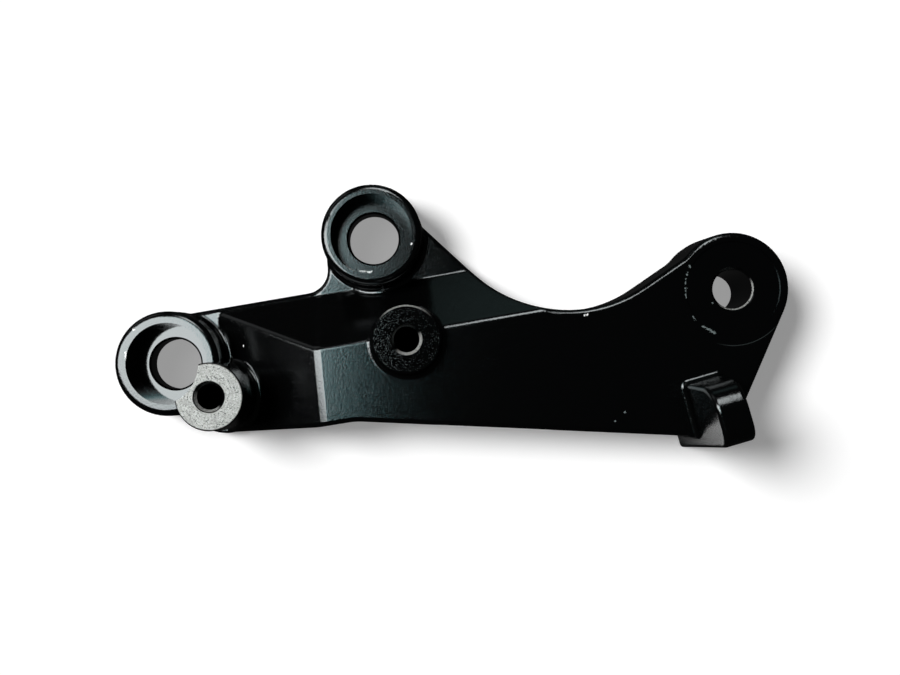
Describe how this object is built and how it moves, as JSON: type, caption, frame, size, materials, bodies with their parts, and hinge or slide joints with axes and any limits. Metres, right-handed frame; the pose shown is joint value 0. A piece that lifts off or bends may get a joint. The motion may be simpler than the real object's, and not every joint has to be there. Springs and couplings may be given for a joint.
{
  "type": "master cylinder mounting plate",
  "caption": "Black coated cast bracket with counterbored mounting eyes, a pivot eye, tapped bosses for a brake master cylinder and an upstanding lug at one corner.",
  "frame": {"origin": "axis of the end eye's bolt hole, on the plane of the machined back pads", "axes": "+X from the end eye towards the pivot eye, +Y towards the upper eye, +Z out of the front"},
  "size_m": [0.1358, 0.0543, 0.031],
  "materials": {
    "black_coat": "satin"
  },
  "bodies": {
    "root": {"mounting_plate": "black_coat"}
  },
  "joints": []
}
